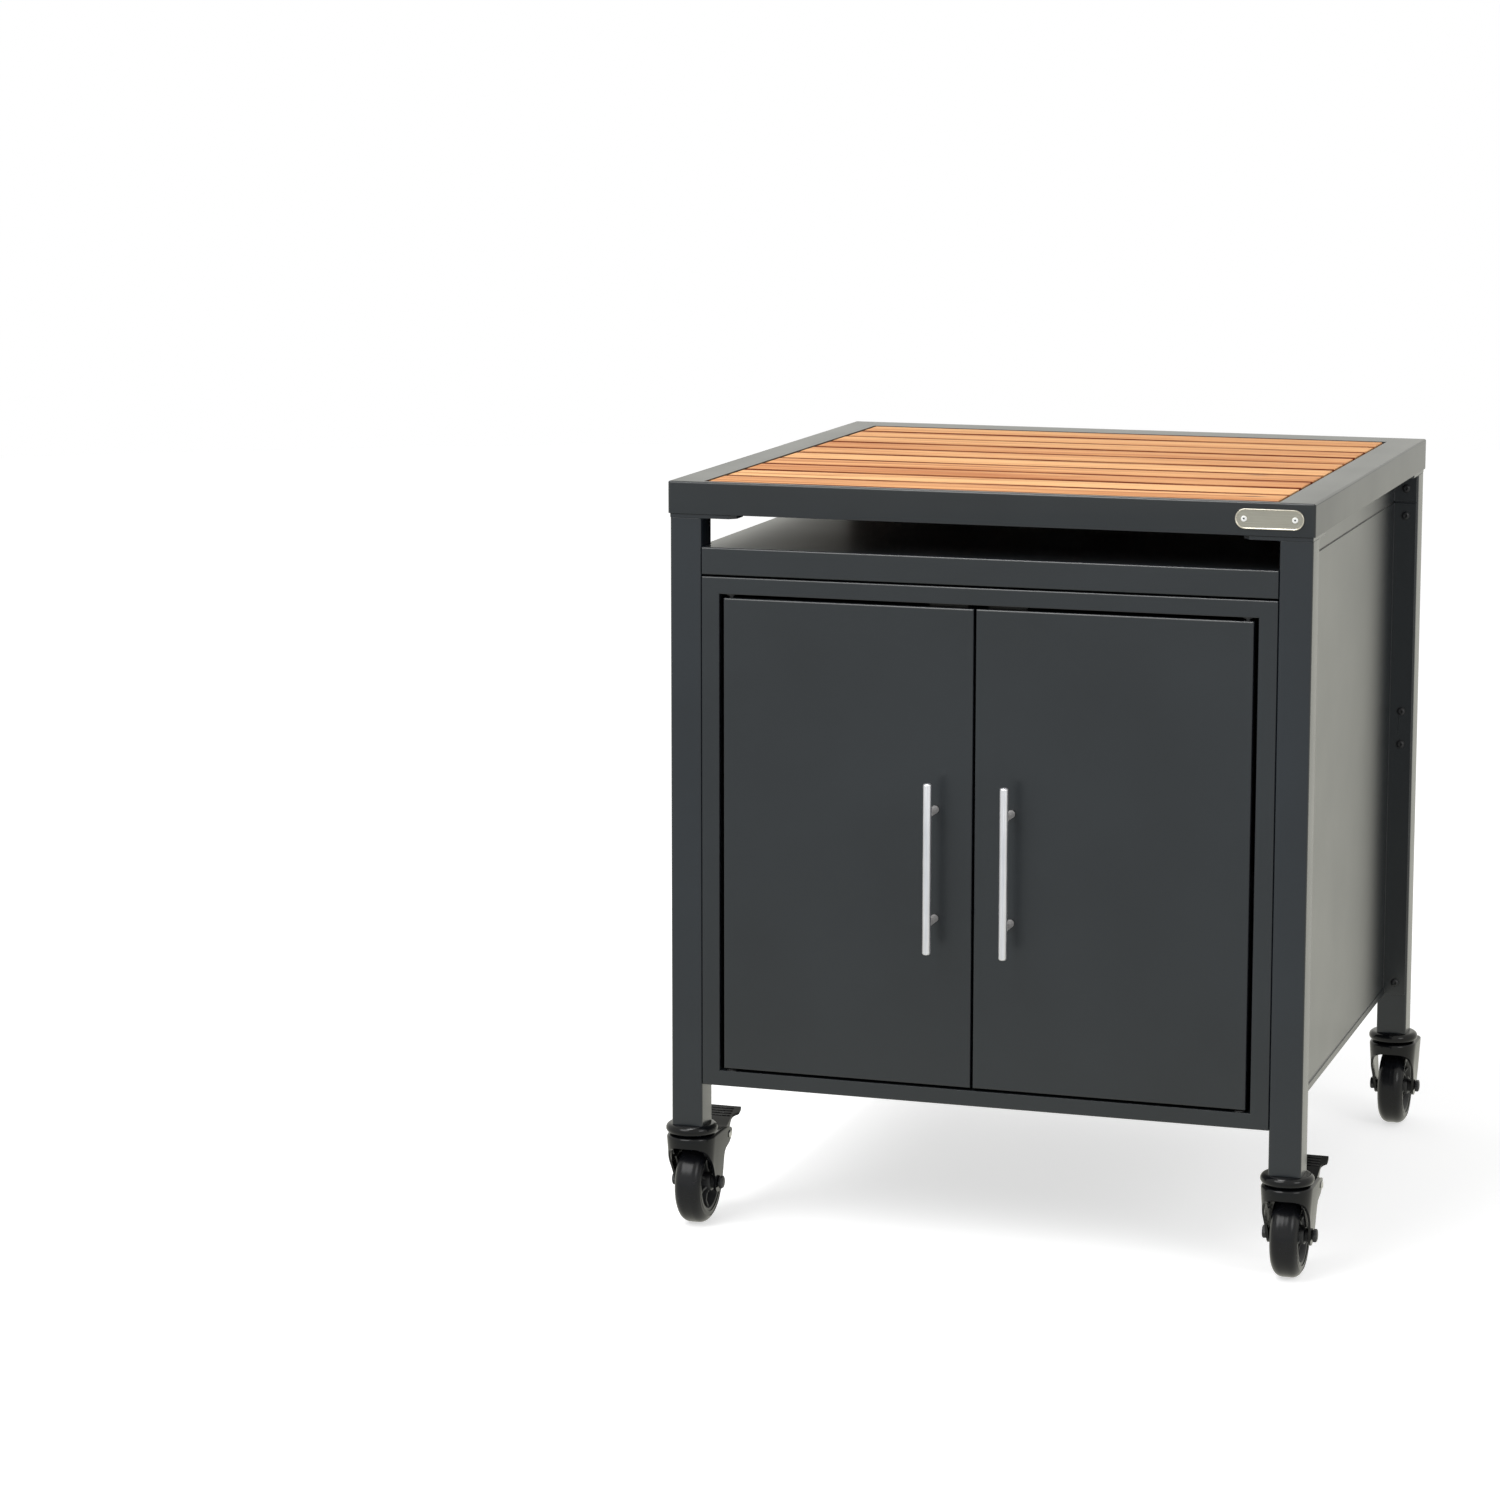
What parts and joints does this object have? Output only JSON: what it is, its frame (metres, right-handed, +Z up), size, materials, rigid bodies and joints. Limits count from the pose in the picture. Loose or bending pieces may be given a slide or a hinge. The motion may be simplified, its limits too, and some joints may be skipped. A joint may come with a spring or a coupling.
{
  "type": "grill expansion cabinet",
  "caption": "Square outdoor steel cabinet on swivel casters: slatted wood top in a frame, open tray slot below it, and a cupboard with a pair of hinged doors and bar handles.",
  "frame": {"origin": "on the floor, in the middle of the overall footprint, handles and wheels included", "axes": "front faces -Y, +X to the viewer's right, +Z up"},
  "size_m": [0.7808, 0.8494, 0.898],
  "materials": {
    "powder_coat": "satin powder coat, anthracite",
    "wood_top": "oiled hardwood",
    "wood_batten": "sawn hardwood",
    "zinc_screws": "zinc plated",
    "black_bolts": "black coated",
    "black_plastic": "moulded",
    "handle_steel": "fine brushed",
    "nameplate_steel": "brushed, no marking",
    "caster_black": "gloss black coat",
    "hub_plastic": "moulded",
    "tyre_rubber": "moulded rubber"
  },
  "bodies": {
    "cabinet": {"top_frame": "powder_coat", "wood_slats": "wood_top", "slat_battens": "wood_batten", "slat_screws": "zinc_screws", "leg_front_left": "powder_coat", "leg_front_right": "powder_coat", "leg_rear_left": "powder_coat", "leg_rear_right": "powder_coat", "corner_plates": "powder_coat", "frame_bolts": "black_bolts", "leg_plugs": "black_plastic", "tray_shelf": "powder_coat", "face_frame": "powder_coat", "side_panel_left": "powder_coat", "side_panel_right": "powder_coat", "slot_panel_right": "powder_coat", "slot_panel_back": "powder_coat", "cabinet_back": "powder_coat", "cabinet_floor": "powder_coat", "inner_shelf": "powder_coat", "shelf_studs": "zinc_screws", "panel_bolts": "black_bolts", "pivot_bushes": "black_plastic", "door_catches": "black_plastic", "nameplate": "nameplate_steel", "nameplate_rivets": "nameplate_steel", "caster_head_front_left": "caster_black", "caster_head_front_right": "caster_black", "caster_head_rear_left": "caster_black", "caster_head_rear_right": "caster_black"},
    "door_left": {"door_skin_left": "powder_coat", "door_liner_left": "powder_coat", "handle_left": "handle_steel", "handle_screws_left": "zinc_screws", "pivot_pins_left": "black_bolts"},
    "door_right": {"door_skin_right": "powder_coat", "door_liner_right": "powder_coat", "handle_right": "handle_steel", "handle_screws_right": "zinc_screws", "pivot_pins_right": "black_bolts"},
    "swivel_front_left": {"caster_fork_front_left": "caster_black", "caster_axle_front_left": "caster_black", "brake_pin_left": "zinc_screws"},
    "wheel_front_left": {"wheel_hub_front_left": "hub_plastic", "tyre_front_left": "tyre_rubber"},
    "swivel_front_right": {"caster_fork_front_right": "caster_black", "caster_axle_front_right": "caster_black", "brake_pin_right": "zinc_screws"},
    "wheel_front_right": {"wheel_hub_front_right": "hub_plastic", "tyre_front_right": "tyre_rubber"},
    "swivel_rear_left": {"caster_fork_rear_left": "caster_black", "caster_axle_rear_left": "caster_black"},
    "wheel_rear_left": {"wheel_hub_rear_left": "hub_plastic", "tyre_rear_left": "tyre_rubber"},
    "swivel_rear_right": {"caster_fork_rear_right": "caster_black", "caster_axle_rear_right": "caster_black"},
    "wheel_rear_right": {"wheel_hub_rear_right": "hub_plastic", "tyre_rear_right": "tyre_rubber"},
    "pedal_left": {"brake_pedal_left": "caster_black"},
    "pedal_right": {"brake_pedal_right": "caster_black"}
  },
  "joints": [
    {"name": "door_left_hinge", "type": "hinge", "parent": "cabinet", "child": "door_left", "pos_m": [-0.3045, -0.3777, 0.4823], "axis": [0, 0, -1], "range_deg": [0, 105]},
    {"name": "door_right_hinge", "type": "hinge", "parent": "cabinet", "child": "door_right", "pos_m": [0.3045, -0.3777, 0.4823], "axis": [0, 0, 1], "range_deg": [0, 105]},
    {"name": "swivel_front_left_turn", "type": "hinge", "parent": "cabinet", "child": "swivel_front_left", "pos_m": [-0.3587, -0.3667, 0.112], "axis": [0, 0, 1], "continuous": true},
    {"name": "wheel_front_left_spin", "type": "hinge", "parent": "swivel_front_left", "child": "wheel_front_left", "pos_m": [-0.3587, -0.3427, 0.05], "axis": [1, 0, 0], "continuous": true},
    {"name": "pedal_left_press", "type": "hinge", "parent": "swivel_front_left", "child": "pedal_left", "pos_m": [-0.3587, -0.3127, 0.102], "axis": [1, 0, 0], "range_deg": [-10, 0]},
    {"name": "swivel_front_right_turn", "type": "hinge", "parent": "cabinet", "child": "swivel_front_right", "pos_m": [0.3587, -0.3667, 0.112], "axis": [0, 0, 1], "continuous": true},
    {"name": "wheel_front_right_spin", "type": "hinge", "parent": "swivel_front_right", "child": "wheel_front_right", "pos_m": [0.3587, -0.3427, 0.05], "axis": [1, 0, 0], "continuous": true},
    {"name": "pedal_right_press", "type": "hinge", "parent": "swivel_front_right", "child": "pedal_right", "pos_m": [0.3587, -0.3127, 0.102], "axis": [1, 0, 0], "range_deg": [-10, 0]},
    {"name": "swivel_rear_left_turn", "type": "hinge", "parent": "cabinet", "child": "swivel_rear_left", "pos_m": [-0.3587, 0.3507, 0.112], "axis": [0, 0, 1], "continuous": true},
    {"name": "wheel_rear_left_spin", "type": "hinge", "parent": "swivel_rear_left", "child": "wheel_rear_left", "pos_m": [-0.3587, 0.3747, 0.05], "axis": [1, 0, 0], "continuous": true},
    {"name": "swivel_rear_right_turn", "type": "hinge", "parent": "cabinet", "child": "swivel_rear_right", "pos_m": [0.3587, 0.3507, 0.112], "axis": [0, 0, 1], "continuous": true},
    {"name": "wheel_rear_right_spin", "type": "hinge", "parent": "swivel_rear_right", "child": "wheel_rear_right", "pos_m": [0.3587, 0.3747, 0.05], "axis": [1, 0, 0], "continuous": true}
  ]
}
